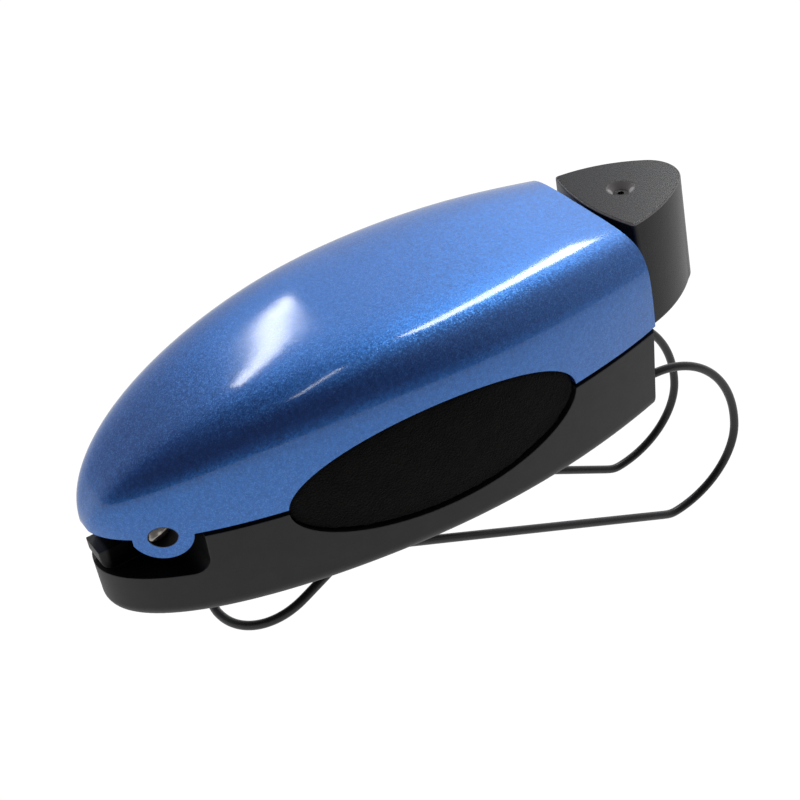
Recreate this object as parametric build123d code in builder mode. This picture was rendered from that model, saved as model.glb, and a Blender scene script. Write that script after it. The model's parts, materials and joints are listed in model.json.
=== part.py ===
from build123d import *
from math import atan, copysign, cos, degrees, sin, sqrt, tau
import os

# A glasses holder that clips on a car's sun visor: a clamshell case on a sprung wire clip.
# Row frame: +X from the hinged nose to the push-button tail, +Z up, XZ is the mirror plane,
# origin on the underside of the base halfway along the case. Millimetres.

# ---- case outline -------------------------------------------------------------------------
BODY_LENGTH = 88.0
NOSE_X = -BODY_LENGTH / 2
REAR_X = BODY_LENGTH / 2
HALF_WIDTH = 20.1
REAR_HALF_WIDTH = 15.55
WIDEST = 55.0
NOSE_FULLNESS = 1.78
NOSE_FLAT = 0.15
REAR_RUNOUT = 10.0
CROWN = 17.9
REAR_CROWN = 14.75
HIGHEST = 46.0
CROWN_FULLNESS = 1.9
NOSE_SQUARENESS = 3.8
SQUARENESS_GAIN = 1.76
REAR_LEAN = degrees(atan(0.069))
SECTION_STEPS = 36
OUTLINE_STATIONS = 12
OUTLINE_CROWDING = 2.2
SLOPE_STEP = 0.01
DOME_STATIONS = 15
DOME_CROWDING = 1.9
HOLLOW_STATIONS = 10
HOLLOW_CROWDING = 1.8
PARTING_Z = 15.2
LID_BOTTOM_Z = 15.5
LID_WALL = 1.6
LID_HOLLOW_FRONT = 2.4
LID_HOLLOW_REAR = 85.4
BASE_TOP_Z = 14.7
BASE_DRAFT = 0.3
BASE_WALL = 2.0
BASE_EDGE = 2.6
BASE_REAR_EDGE = 0.5
FLOOR = 2.0

# ---- oval opening for the glasses, its liners and foam ------------------------------------
OVAL_X = 3.2
OVAL_Z = 15.0
OVAL_HALF_LENGTH = 23.3
OVAL_HALF_HEIGHT = 9.0
FOAM_RECESS = 0.5
FOAM_CLEARANCE = 0.08
LINER_WALL = 0.9
LINER_FLANGE = 1.2
LINER_CLEARANCE = 0.25
FLANGE_GAP = 0.05
LINER_FRONT_X = NOSE_X + 14.9
LINER_REAR_X = NOSE_X + 85.2
LID_LINER_Z = LID_BOTTOM_Z + FLANGE_GAP
BASE_LINER_Z = BASE_TOP_Z - FLANGE_GAP

# ---- nose hinge ---------------------------------------------------------------------------
PIN_X = NOSE_X + 7.75
PIN_Z = 15.6
PIN_RADIUS = 1.7
PIN_HALF_LENGTH = 8.8
PIN_CHAMFER = 0.45
EAR_BORE_RADIUS = 1.77
EAR_RADIUS = 3.8
EAR_INNER_Y = 7.1
EAR_INSET = 0.15
LUG_HALF_WIDTH = 2.2
LUG_SETBACK = 0.4
LUG_UNDERCUT = 2.0
LUG_BROW = 1.2
LUG_RADIUS = 5.2
LUG_FRONT_Z = 11.7
POCKET_END_X = NOSE_X + 12.7
POCKET_FLOOR_Z = 8.2
POCKET_CORNER = 2.5
HINGE_COIL_RADIUS = 2.15
HINGE_COIL_WIRE = 0.25
HINGE_COIL_PITCH = 0.62
HINGE_COIL_TURNS = 3
HINGE_COIL_Y = 4.25
HINGE_COIL_LEG = 3.0

# ---- tail button and latch ----------------------------------------------------------------
CAP_TOP_Z = 30.2
CAP_BOTTOM_Z = 12.2
CAP_FRONT_X = 43.6
CAP_CORNER = (45.2, 9.9)
CAP_FLANK = (52.8, 7.8)
CAP_SHOULDER = (58.4, 4.3)
CAP_APEX_X = 60.5
CAP_FLARE = 1.3
CAP_FRONT_SLOPE = 1.5
CAP_CORNER_ROUND = 0.6
CAP_SHOULDER_ROUND = 2.5
CAP_EDGE = 0.25
CAP_WALL = 1.6
CAP_ROOF = 2.0
DIMPLE_X = NOSE_X + 94.4
DIMPLE_RADIUS = 2.2
DIMPLE_DEPTH = 0.9
BUTTON_SCREW_HEAD = 1.1
BUTTON_SCREW_SINK = 0.3
BUTTON_SCREW_SOCKET = 0.5
LATCH_X = NOSE_X + 82.9
LATCH_Z = 18.7
LATCH_PIN_RADIUS = 1.0
LATCH_BORE_RADIUS = 1.05
LATCH_HUB_RADIUS = 2.2
CHEEK_INNER_Y = 4.4
CHEEK_OUTER_Y = 6.2
LATCH_WINDOW_X = NOSE_X + 79.4
LEVER_HALF_WIDTH = 3.5
LEVER_SLOT_TOP_Z = 21.7
LEG_FRONT_X = 37.6
LEG_REAR_X = 39.6
LEG_BOTTOM_Z = 7.2
HOOK_X = 40.6
HOOK_TOP_Z = 9.3
HOOK_LOW_Z = 8.4
ARM_BOTTOM_Z = 17.2
ARM_TOP_Z = 20.2
TAIL_FRONT_X = 32.0
TAIL_TOP_Z = 19.2
POST_RADIUS = 2.8
STRIKE_THICKNESS = 1.0
STRIKE_HALF_WIDTH = 6.0
STRIKE_TOP_Z = 13.3
STRIKE_WINDOW_HALF_WIDTH = 4.2
STRIKE_WINDOW_LOW_Z = 5.5
STRIKE_WINDOW_HIGH_Z = 9.5
LATCH_SPRING_X = NOSE_X + 78.0
LATCH_SPRING_RADIUS = 1.6
LATCH_SPRING_WIRE = 0.25
LATCH_SPRING_TOP_Z = 27.9
LATCH_SPRING_TURNS = 7
LATCH_SEAT_RADIUS = 2.2
LATCH_SEAT_HEIGHT = 2.2

# ---- spring-wire clip ---------------------------------------------------------------------
WIRE_RADIUS = 0.72
GROOVE_RADIUS = 0.78
WIRE_REAR_Y = 7.9
WIRE_FRONT_Y = 11.1
WIRE_ROOT_X = 14.0
WIRE_FOOT = 3.0
LOOP_START_X = 48.4
UPPER_BEND_X = 17.05
UPPER_BEND_Z = 18.65
LOWER_BEND_X = 14.2
LOWER_BEND_Z = 12.3
SPLIT_ANGLE = 0.4
NIP_X = -9.75
NIP_Z = -0.9
LIP_X = -28.4
LIP_Z = -10.55
LIP_BEND_DEPTH = 10.9
PLATE_FRONT_X = 11.0
PLATE_REAR_X = 39.0
PLATE_HALF_WIDTH = 11.0
PLATE_THICKNESS = 2.0
PLATE_CORNER = 2.0
PLATE_EDGE = 0.5

# ---- screws -------------------------------------------------------------------------------
HEAD_RADIUS = 1.8
HEAD_DEPTH = 0.9
SHANK_RADIUS = 0.9
SINK_CLEARANCE = 0.05
SINK_ANGLE = 90
SLOT_WIDTH = 0.45
SLOT_DEPTH = 0.4
BOSS_RADIUS = 2.2
LINER_SCREW_LENGTH = 6.0
PLATE_SCREW_LENGTH = 6.0
PLATE_BOSS_TOP_Z = 4.6
LINER_SCREW_PLACES = [
    (NOSE_X + 18.5, 6.0),
    (NOSE_X + 18.5, -6.0),
    (NOSE_X + 75.5, 9.5),
    (NOSE_X + 75.5, -9.5),
]
PLATE_SCREW_PLACES = [(18.0, 0.0), (32.0, 0.0)]

# ---- generous sizes for cutting blocks ----------------------------------------------------
BIG = 4 * BODY_LENGTH
ALONG_Y = (90, 0, 0)
FACING_DOWN = (180, 0, 0)
BELOW = (Align.CENTER, Align.CENTER, Align.MAX)
ABOVE = (Align.CENTER, Align.CENTER, Align.MIN)


def half_width(run):
    """Half the case's width at a distance back from the nose."""
    if run < WIDEST:
        return HALF_WIDTH * sqrt(1 - (1 - run / WIDEST) ** NOSE_FULLNESS)
    taper = (run - WIDEST) / (BODY_LENGTH - WIDEST)
    return HALF_WIDTH - (HALF_WIDTH - REAR_HALF_WIDTH) * taper**2


def crown_height(run):
    """Height of the lid's crown over the parting plane at a distance back from the nose."""
    if run < HIGHEST:
        return CROWN * sqrt(1 - (1 - run / HIGHEST) ** CROWN_FULLNESS)
    taper = (run - HIGHEST) / (BODY_LENGTH - HIGHEST)
    return CROWN - (CROWN - REAR_CROWN) * taper**2


def runs_from(first, last, count, crowding):
    """Distances back from the nose, crowded towards the first."""
    return [first + (last - first) * (i / count) ** crowding for i in range(count + 1)]


def hollow_runs(last):
    """Stations of the lid's hollow, from its front end to a last one."""
    return runs_from(LID_HOLLOW_FRONT, last, HOLLOW_STATIONS, HOLLOW_CROWDING)


def section_plane(run):
    """Upright plane across the case, its x along the row's Y and its y along the row's Z."""
    return Plane(origin=(NOSE_X + run, 0, PARTING_Z), x_dir=(0, 1, 0), z_dir=(1, 0, 0))


def dome_face(run, inset):
    """The lid's superellipse section, pulled in by a wall and closed under the parting plane."""
    power = 2 / (NOSE_SQUARENESS + SQUARENESS_GAIN * run / BODY_LENGTH)
    wide = half_width(run) - inset
    tall = crown_height(run) - inset
    points = []
    for step in range(-1, SECTION_STEPS // 2 + 2):
        across = cos(tau * step / SECTION_STEPS)
        above = sin(tau * step / SECTION_STEPS)
        y = wide * copysign(abs(across) ** power, across)
        z = tall * copysign(abs(above) ** power, above)
        points.append((y, z))
    with BuildSketch() as section:
        with BuildLine():
            Spline(points)
            Line(points[-1], points[0])
        make_face()
    return section.sketch


def dome_block(inset, runs):
    """Solid of the lid's dome, pulled in by a wall."""
    with BuildPart() as block:
        for run in runs:
            with BuildSketch(section_plane(run)):
                add(dome_face(run, inset))
        loft()
    return block.part


def outline_face(inset, front_x, rear_x):
    """The case's plan outline pulled in by an inset, kept between two stations."""
    side = []
    for run in runs_from(0, BODY_LENGTH, OUTLINE_STATIONS, OUTLINE_CROWDING)[1:]:
        rise = half_width(run + SLOPE_STEP) - half_width(run - SLOPE_STEP)
        slope = rise / (2 * SLOPE_STEP)
        lean = sqrt(1 + slope**2)
        side.append((NOSE_X + run + inset * slope / lean, half_width(run) - inset / lean))
    points = side[::-1] + [(NOSE_X + inset, 0)] + [(x, -y) for x, y in side]
    with BuildSketch() as outline:
        with BuildLine():
            Spline(points)
            Line(points[-1], points[0])
        make_face()
        with Locations((front_x, 0)):
            Rectangle(
                rear_x - front_x,
                BIG,
                align=(Align.MIN, Align.CENTER),
                mode=Mode.INTERSECT,
            )
    return outline.sketch


def tray_block(inset, front_x, rear_x, low_z, high_z):
    """Solid of the base's tapering outline, pulled in by a wall, between two heights."""
    with BuildPart() as block:
        for z in (low_z, high_z):
            with BuildSketch(Plane.XY.offset(z)):
                draft = BASE_DRAFT * (PARTING_Z - z) / PARTING_Z
                add(outline_face(inset + draft, front_x, rear_x))
        loft(ruled=True)
    return block.part


def oval_block(grow):
    """The oval opening's prism across the case, larger by grow all round."""
    with BuildPart() as block:
        with BuildSketch(Plane.XZ):
            with Locations((OVAL_X, OVAL_Z)):
                Ellipse(OVAL_HALF_LENGTH + grow, OVAL_HALF_HEIGHT + grow)
        extrude(amount=2 * HALF_WIDTH, both=True)
    return block.part


def countersunk_screws(places, head_z, length, facing):
    """Slotted countersunk screws with their heads level with head_z."""
    with BuildPart() as screws:
        with Locations(*[Location((x, y, head_z), facing) for x, y in places]):
            Cone(
                SHANK_RADIUS,
                HEAD_RADIUS,
                HEAD_DEPTH,
                align=BELOW,
            )
            Cylinder(SHANK_RADIUS, length, align=BELOW)
            Box(2 * HEAD_RADIUS, SLOT_WIDTH, 2 * SLOT_DEPTH, mode=Mode.SUBTRACT)
    return screws.part


def save(part, name):
    """Names a finished part and writes its STEP file."""
    part.label = name
    export_step(part, f"parts/{name}.step")


os.makedirs("parts", exist_ok=True)

# ---- lid shell ----------------------------------------------------------------------------
# hinge ears: two discs round the pin, trimmed to the case's curve
with BuildPart() as ears:
    with Locations(Location((PIN_X, 0, PIN_Z), ALONG_Y)):
        Cylinder(EAR_RADIUS, 2 * HALF_WIDTH)
    with Locations((PIN_X, 0, PIN_Z)):
        Box(4 * EAR_RADIUS, 2 * EAR_INNER_Y, 4 * EAR_RADIUS, mode=Mode.SUBTRACT)
    with BuildSketch(Plane.XY):
        add(outline_face(EAR_INSET, NOSE_X, REAR_X))
    extrude(amount=2 * PARTING_Z, mode=Mode.INTERSECT)

with BuildPart() as lid_shell:
    dome_runs = runs_from(0, BODY_LENGTH + REAR_RUNOUT, DOME_STATIONS, DOME_CROWDING)
    add(dome_block(0, [NOSE_FLAT] + dome_runs[1:]))
    with Locations((0, 0, LID_BOTTOM_Z)):
        Box(BIG, BIG, BIG, align=BELOW, mode=Mode.SUBTRACT)
    # rear face, leaning forward towards its top
    with Locations(Location((REAR_X, 0, PARTING_Z), (0, -REAR_LEAN, 0))):
        Box(
            BIG,
            BIG,
            BIG,
            align=(Align.MIN, Align.CENTER, Align.CENTER),
            mode=Mode.SUBTRACT,
        )
    add(dome_block(LID_WALL, hollow_runs(LID_HOLLOW_REAR)), mode=Mode.SUBTRACT)
    add(ears.part)
    with Locations(Location((PIN_X, 0, PIN_Z), ALONG_Y)):
        Cylinder(EAR_BORE_RADIUS, 2 * HALF_WIDTH, mode=Mode.SUBTRACT)
    # slot in the rear wall for the latch lever
    with Locations((REAR_X, 0, LID_BOTTOM_Z)):
        Box(
            6 * LID_WALL,
            2 * CHEEK_INNER_Y,
            LEVER_SLOT_TOP_Z - LID_BOTTOM_Z,
            align=ABOVE,
            mode=Mode.SUBTRACT,
        )
    # bosses up into the roof for the liner's screws
    for x, y in LINER_SCREW_PLACES:
        boss_foot_z = LID_LINER_Z + LINER_FLANGE
        roof_z = PARTING_Z + crown_height(x - BOSS_RADIUS - NOSE_X) - LID_WALL / 2
        with Locations((x, y, boss_foot_z)):
            Cylinder(BOSS_RADIUS, roof_z - boss_foot_z, align=ABOVE)
            Cylinder(SHANK_RADIUS, LINER_SCREW_LENGTH, align=ABOVE, mode=Mode.SUBTRACT)
    # seat for the latch spring, down from the roof
    with Locations((LATCH_SPRING_X, 0, LATCH_SPRING_TOP_Z)):
        Cylinder(LATCH_SEAT_RADIUS, LATCH_SEAT_HEIGHT, align=ABOVE)
    add(oval_block(0), mode=Mode.SUBTRACT)
save(lid_shell.part, "lid_shell")

# ---- lid liner ----------------------------------------------------------------------------
# flange inside the lid's lower edge, half a tunnel over the foam, and the latch's cheeks
with BuildPart() as lid_liner:
    with BuildSketch(Plane.XY.offset(LID_LINER_Z)):
        add(outline_face(LID_WALL + LINER_CLEARANCE, LINER_FRONT_X, LINER_REAR_X))
    extrude(amount=LINER_FLANGE)
    add(oval_block(LINER_WALL))
    add(
        dome_block(LID_WALL + LINER_CLEARANCE, hollow_runs(LID_HOLLOW_REAR - LINER_CLEARANCE)),
        mode=Mode.INTERSECT,
    )
    with Locations((0, 0, LID_LINER_Z)):
        Box(BIG, BIG, BIG, align=BELOW, mode=Mode.SUBTRACT)
    add(oval_block(0), mode=Mode.SUBTRACT)
    with Locations((LATCH_X, 0, LATCH_Z)):
        with Locations(Location((0, 0, 0), ALONG_Y)):
            Cylinder(LATCH_HUB_RADIUS, 2 * CHEEK_OUTER_Y)
        Box(
            2 * LATCH_HUB_RADIUS,
            2 * CHEEK_OUTER_Y,
            LATCH_Z - LID_LINER_Z,
            align=BELOW,
        )
    with Locations((LATCH_WINDOW_X, 0, LID_LINER_Z)):
        Box(
            BIG,
            2 * CHEEK_INNER_Y,
            BIG,
            align=(Align.MIN, Align.CENTER, Align.CENTER),
            mode=Mode.SUBTRACT,
        )
    with Locations(Location((LATCH_X, 0, LATCH_Z), ALONG_Y)):
        Cylinder(LATCH_PIN_RADIUS, BIG, mode=Mode.SUBTRACT)
    with Locations(*[Location((x, y, LID_LINER_Z), FACING_DOWN) for x, y in LINER_SCREW_PLACES]):
        CounterSinkHole(
            SHANK_RADIUS + SINK_CLEARANCE,
            HEAD_RADIUS + SINK_CLEARANCE,
            depth=2 * LINER_FLANGE,
            counter_sink_angle=SINK_ANGLE,
        )
save(lid_liner.part, "lid_liner")

# ---- lid foam -----------------------------------------------------------------------------
with BuildPart() as lid_foam_pad:
    add(oval_block(-FOAM_CLEARANCE))
    add(dome_block(FOAM_RECESS, hollow_runs(LID_HOLLOW_REAR)), mode=Mode.INTERSECT)
    with Locations((0, 0, PARTING_Z)):
        Box(BIG, BIG, BIG, align=BELOW, mode=Mode.SUBTRACT)
save(lid_foam_pad.part, "lid_foam_pad")

save(
    countersunk_screws(
        LINER_SCREW_PLACES,
        LID_LINER_Z,
        LINER_SCREW_LENGTH,
        FACING_DOWN,
    ),
    "lid_liner_screws",
)

# ---- base tray ----------------------------------------------------------------------------
with BuildPart() as base_blank:
    add(tray_block(0, NOSE_X, REAR_X, 0, BASE_TOP_Z))
    underside_edges = base_blank.faces().sort_by(Axis.Z)[0].edges()
    fillet(underside_edges.filter_by(Axis.Y, reverse=True), BASE_EDGE)
    rear_face = base_blank.faces().sort_by(Axis.X)[-1]
    chamfer(rear_face.edges().group_by(Axis.Z)[0], BASE_REAR_EDGE)

# hinge lug between the ears: a nose block just inside the outline, its front rounded over and
# under, and a barrel on the pin
with BuildPart() as lug:
    with BuildSketch(Plane.XZ):
        with Locations((NOSE_X + LUG_SETBACK, POCKET_FLOOR_Z)):
            Rectangle(
                POCKET_END_X - NOSE_X - LUG_SETBACK + BASE_WALL,
                LUG_FRONT_Z - POCKET_FLOOR_Z,
                align=(Align.MIN, Align.MIN),
            )
        front_corners = vertices().group_by(Axis.X)[0].sort_by(Axis.Y)
        fillet(front_corners[0], LUG_UNDERCUT)
        fillet(front_corners[1], LUG_BROW)
    extrude(amount=LUG_HALF_WIDTH, both=True)
    add(base_blank.part, mode=Mode.INTERSECT)
    with Locations(Location((PIN_X, 0, PIN_Z), ALONG_Y)):
        Cylinder(LUG_RADIUS, 2 * LUG_HALF_WIDTH)
    with Locations((PIN_X, 0, POCKET_FLOOR_Z)):
        Box(
            POCKET_END_X - PIN_X + BASE_WALL,
            2 * LUG_HALF_WIDTH,
            BASE_TOP_Z - POCKET_FLOOR_Z,
            align=(Align.MIN, Align.CENTER, Align.MIN),
        )

# grooves the wire's legs and their turned-in feet lie in
with BuildPart() as wire_grooves:
    for y in (-WIRE_REAR_Y, WIRE_REAR_Y):
        with Locations(Location((WIRE_ROOT_X - GROOVE_RADIUS, y, 0), (0, 90, 0))):
            Cylinder(GROOVE_RADIUS, BODY_LENGTH, align=ABOVE)
        with Locations(Location((WIRE_ROOT_X, y, 0), (copysign(90, y), 0, 0))):
            Cylinder(GROOVE_RADIUS, WIRE_FOOT + GROOVE_RADIUS, align=ABOVE)

with BuildPart() as base_tray:
    add(base_blank.part)
    # pockets the ears and the lid's nose swing down into
    with BuildSketch(Plane.XZ):
        with Locations((POCKET_END_X, POCKET_FLOOR_Z)):
            Rectangle(BODY_LENGTH, BODY_LENGTH, align=(Align.MAX, Align.MIN))
        pocket_corner = vertices().group_by(Axis.X)[-1].sort_by(Axis.Y)[0]
        fillet(pocket_corner, POCKET_CORNER)
    extrude(amount=BIG, both=True, mode=Mode.SUBTRACT)
    add(lug.part)
    with Locations(Location((PIN_X, 0, PIN_Z), ALONG_Y)):
        Cylinder(PIN_RADIUS, BIG, mode=Mode.SUBTRACT)
    add(
        tray_block(
            BASE_WALL,
            LINER_FRONT_X - LINER_CLEARANCE,
            REAR_X - BASE_WALL,
            FLOOR,
            PARTING_Z,
        ),
        mode=Mode.SUBTRACT,
    )
    # bosses for the liner's screws
    for x, y in LINER_SCREW_PLACES:
        with Locations((x, y, BASE_LINER_Z - LINER_FLANGE)):
            Cylinder(BOSS_RADIUS, BASE_LINER_Z - LINER_FLANGE - FLOOR, align=BELOW)
            Cylinder(SHANK_RADIUS, LINER_SCREW_LENGTH, align=BELOW, mode=Mode.SUBTRACT)
    # bosses for the retainer plate's screws
    for x, y in PLATE_SCREW_PLACES:
        with Locations((x, y, 0)):
            Cylinder(BOSS_RADIUS, PLATE_BOSS_TOP_Z, align=ABOVE)
            Cylinder(
                SHANK_RADIUS,
                PLATE_SCREW_LENGTH - PLATE_THICKNESS,
                align=ABOVE,
                mode=Mode.SUBTRACT,
            )
    add(oval_block(0), mode=Mode.SUBTRACT)
    add(wire_grooves.part, mode=Mode.SUBTRACT)
save(base_tray.part, "base_tray")

# ---- base liner, foam, strike plate -------------------------------------------------------
with BuildPart() as base_liner:
    with Locations((0, 0, BASE_LINER_Z)):
        Box(BIG, BIG, LINER_FLANGE, align=BELOW)
    add(oval_block(LINER_WALL))
    add(
        tray_block(
            BASE_WALL + LINER_CLEARANCE,
            LINER_FRONT_X,
            LINER_REAR_X,
            FLOOR,
            BASE_LINER_Z,
        ),
        mode=Mode.INTERSECT,
    )
    add(oval_block(0), mode=Mode.SUBTRACT)
    with Locations((LATCH_WINDOW_X, 0, BASE_LINER_Z)):
        Box(
            BIG,
            2 * CHEEK_INNER_Y,
            BIG,
            align=(Align.MIN, Align.CENTER, Align.CENTER),
            mode=Mode.SUBTRACT,
        )
    with Locations(*[(x, y, BASE_LINER_Z) for x, y in LINER_SCREW_PLACES]):
        CounterSinkHole(
            SHANK_RADIUS + SINK_CLEARANCE,
            HEAD_RADIUS + SINK_CLEARANCE,
            depth=2 * LINER_FLANGE,
            counter_sink_angle=SINK_ANGLE,
        )
save(base_liner.part, "base_liner")

with BuildPart() as base_foam_pad:
    add(oval_block(-FOAM_CLEARANCE))
    add(
        tray_block(FOAM_RECESS, LINER_FRONT_X, LINER_REAR_X, FLOOR, PARTING_Z - FLANGE_GAP),
        mode=Mode.INTERSECT,
    )
save(base_foam_pad.part, "base_foam_pad")

save(
    countersunk_screws(LINER_SCREW_PLACES, BASE_LINER_Z, LINER_SCREW_LENGTH, (0, 0, 0)),
    "base_liner_screws",
)

with BuildPart() as strike_plate:
    with Locations((REAR_X - BASE_WALL, 0, FLOOR)):
        Box(
            STRIKE_THICKNESS,
            2 * STRIKE_HALF_WIDTH,
            STRIKE_TOP_Z - FLOOR,
            align=(Align.MAX, Align.CENTER, Align.MIN),
        )
    with Locations((REAR_X - BASE_WALL, 0, STRIKE_WINDOW_LOW_Z)):
        Box(
            4 * STRIKE_THICKNESS,
            2 * STRIKE_WINDOW_HALF_WIDTH,
            STRIKE_WINDOW_HIGH_Z - STRIKE_WINDOW_LOW_Z,
            align=ABOVE,
            mode=Mode.SUBTRACT,
        )
save(strike_plate.part, "strike_plate")

# ---- hinge pin and its two coil springs ---------------------------------------------------
with BuildPart() as hinge_pin:
    with Locations(Location((PIN_X, 0, PIN_Z), ALONG_Y)):
        Cylinder(PIN_RADIUS, 2 * PIN_HALF_LENGTH)
    chamfer(hinge_pin.edges().filter_by(GeomType.CIRCLE), PIN_CHAMFER)
save(hinge_pin.part, "hinge_pin")

with BuildPart() as hinge_springs:
    with BuildLine() as coil_path:
        coil = Helix(
            HINGE_COIL_PITCH,
            HINGE_COIL_PITCH * HINGE_COIL_TURNS,
            HINGE_COIL_RADIUS,
            center=(PIN_X, HINGE_COIL_Y, PIN_Z),
            direction=(0, 1, 0),
        )
        Line(coil @ 0 - HINGE_COIL_LEG * (coil % 0), coil @ 0)
    with BuildSketch(Plane(origin=coil_path.wires()[0] @ 0, z_dir=coil_path.wires()[0] % 0)):
        Circle(HINGE_COIL_WIRE)
    sweep(path=coil_path.wires()[0])
    mirror(about=Plane.XZ)
save(hinge_springs.part, "hinge_springs")

# ---- tail button --------------------------------------------------------------------------
def cap_face(flare, setback):
    """The cap's rounded-triangle plan, grown by a flare, its front edge set back."""
    corner = (CAP_CORNER[0] + setback, CAP_CORNER[1] + flare)
    flank = (CAP_FLANK[0], CAP_FLANK[1] + flare)
    shoulder = (CAP_SHOULDER[0] + flare / 2, CAP_SHOULDER[1] + flare / 2)
    with BuildSketch() as plan:
        with BuildLine():
            ThreePointArc(corner, flank, shoulder)
            ThreePointArc(shoulder, (CAP_APEX_X + flare, 0), (shoulder[0], -shoulder[1]))
            ThreePointArc(
                (shoulder[0], -shoulder[1]),
                (flank[0], -flank[1]),
                (corner[0], -corner[1]),
            )
            ThreePointArc(
                (corner[0], -corner[1]),
                (CAP_FRONT_X + setback, 0),
                corner,
            )
        make_face()
        fillet(plan.vertices().group_by(Axis.X)[0], CAP_CORNER_ROUND)
        fillet(plan.vertices().group_by(Axis.X)[-1], CAP_SHOULDER_ROUND)
    return plan.sketch


with BuildPart() as button_cap:
    with BuildSketch(Plane.XY.offset(CAP_BOTTOM_Z)):
        add(cap_face(CAP_FLARE, CAP_FRONT_SLOPE))
    with BuildSketch(Plane.XY.offset(CAP_TOP_Z)):
        add(cap_face(0, 0))
    loft(ruled=True)
    fillet(button_cap.faces().sort_by(Axis.Z)[-1].edges(), CAP_EDGE)
    with BuildSketch(Plane.XY.offset(CAP_BOTTOM_Z)):
        add(cap_face(CAP_FLARE - CAP_WALL, CAP_FRONT_SLOPE + CAP_WALL))
    with BuildSketch(Plane.XY.offset(CAP_TOP_Z - CAP_ROOF)):
        add(cap_face(-CAP_WALL, CAP_WALL))
    loft(ruled=True, mode=Mode.SUBTRACT)
    # notch in the front wall for the lever
    with Locations((CAP_FRONT_X, 0, LEVER_SLOT_TOP_Z)):
        Box(4 * CAP_WALL, 2 * CHEEK_INNER_Y, BIG, align=BELOW, mode=Mode.SUBTRACT)
    # dimple, screw seat and screw hole
    with Locations((DIMPLE_X, 0, CAP_TOP_Z)):
        Cone(
            BUTTON_SCREW_HEAD + SINK_CLEARANCE,
            DIMPLE_RADIUS,
            DIMPLE_DEPTH,
            align=BELOW,
            mode=Mode.SUBTRACT,
        )
    with Locations((DIMPLE_X, 0, CAP_TOP_Z - DIMPLE_DEPTH)):
        Cylinder(
            BUTTON_SCREW_HEAD + SINK_CLEARANCE,
            BUTTON_SCREW_SINK,
            align=BELOW,
            mode=Mode.SUBTRACT,
        )
        Cylinder(SHANK_RADIUS + SINK_CLEARANCE, CAP_ROOF, align=BELOW, mode=Mode.SUBTRACT)
save(button_cap.part, "button_cap")

with BuildPart() as button_screw:
    with Locations((DIMPLE_X, 0, CAP_TOP_Z - DIMPLE_DEPTH)):
        Cylinder(BUTTON_SCREW_HEAD, BUTTON_SCREW_SINK, align=BELOW)
        Cylinder(SHANK_RADIUS, LINER_SCREW_LENGTH, align=BELOW)
        Cylinder(
            BUTTON_SCREW_SOCKET,
            2 * BUTTON_SCREW_SINK,
            mode=Mode.SUBTRACT,
        )
save(button_screw.part, "button_screw")

with BuildPart() as latch_lever:
    with BuildSketch(Plane.XZ):
        with BuildLine():
            Polyline(
                (LEG_FRONT_X, TAIL_TOP_Z),
                (LEG_FRONT_X, LEG_BOTTOM_Z),
                (LEG_REAR_X, LEG_BOTTOM_Z),
                (HOOK_X, HOOK_LOW_Z),
                (HOOK_X, HOOK_TOP_Z),
                (LEG_REAR_X, HOOK_TOP_Z),
                (LEG_REAR_X, ARM_BOTTOM_Z),
                (DIMPLE_X, ARM_BOTTOM_Z),
                (DIMPLE_X, ARM_TOP_Z),
                (LATCH_X, ARM_TOP_Z),
                (LATCH_X, TAIL_TOP_Z),
                close=True,
            )
        make_face()
        with Locations((TAIL_FRONT_X, ARM_BOTTOM_Z)):
            Rectangle(
                LATCH_X - TAIL_FRONT_X,
                TAIL_TOP_Z - ARM_BOTTOM_Z,
                align=(Align.MIN, Align.MIN),
            )
    extrude(amount=LEVER_HALF_WIDTH, both=True)
    with Locations(Location((LATCH_X, 0, LATCH_Z), ALONG_Y)):
        Cylinder(LATCH_HUB_RADIUS, 2 * (CHEEK_INNER_Y - FLANGE_GAP))
        Cylinder(LATCH_BORE_RADIUS, BIG, mode=Mode.SUBTRACT)
    with Locations((DIMPLE_X, 0, ARM_BOTTOM_Z)):
        Cylinder(POST_RADIUS, CAP_TOP_Z - CAP_ROOF - ARM_BOTTOM_Z, align=ABOVE)
    with Locations((DIMPLE_X, 0, CAP_TOP_Z - DIMPLE_DEPTH)):
        Cylinder(SHANK_RADIUS, LINER_SCREW_LENGTH, align=BELOW, mode=Mode.SUBTRACT)
save(latch_lever.part, "latch_lever")

with BuildPart() as latch_pin:
    with Locations(Location((LATCH_X, 0, LATCH_Z), ALONG_Y)):
        Cylinder(LATCH_PIN_RADIUS, 2 * CHEEK_OUTER_Y)
save(latch_pin.part, "latch_pin")

with BuildPart() as latch_spring:
    spring_height = LATCH_SPRING_TOP_Z - TAIL_TOP_Z - 2 * LATCH_SPRING_WIRE
    with BuildLine() as spring_path:
        Helix(
            spring_height / LATCH_SPRING_TURNS,
            spring_height,
            LATCH_SPRING_RADIUS,
            center=(LATCH_SPRING_X, 0, TAIL_TOP_Z + LATCH_SPRING_WIRE),
        )
    with BuildSketch(Plane(origin=spring_path.line @ 0, z_dir=spring_path.line % 0)):
        Circle(LATCH_SPRING_WIRE)
    sweep(path=spring_path.line)
save(latch_spring.part, "latch_spring")

# ---- spring-wire clip ---------------------------------------------------------------------
def side_plane(y):
    """Upright plane along the case at a side distance, its y along the row's Z."""
    return Plane(origin=(0, y, 0), x_dir=(1, 0, 0), z_dir=(0, -1, 0))


def wire_run(path):
    """Smooth run of the round wire along a line, with a ball at its start."""
    with BuildPart() as run:
        with BuildSketch(Plane(origin=path @ 0, z_dir=path % 0)):
            Circle(WIRE_RADIUS)
        sweep(path=path)
        with Locations(path @ 0):
            Sphere(WIRE_RADIUS)
    return run.part


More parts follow.
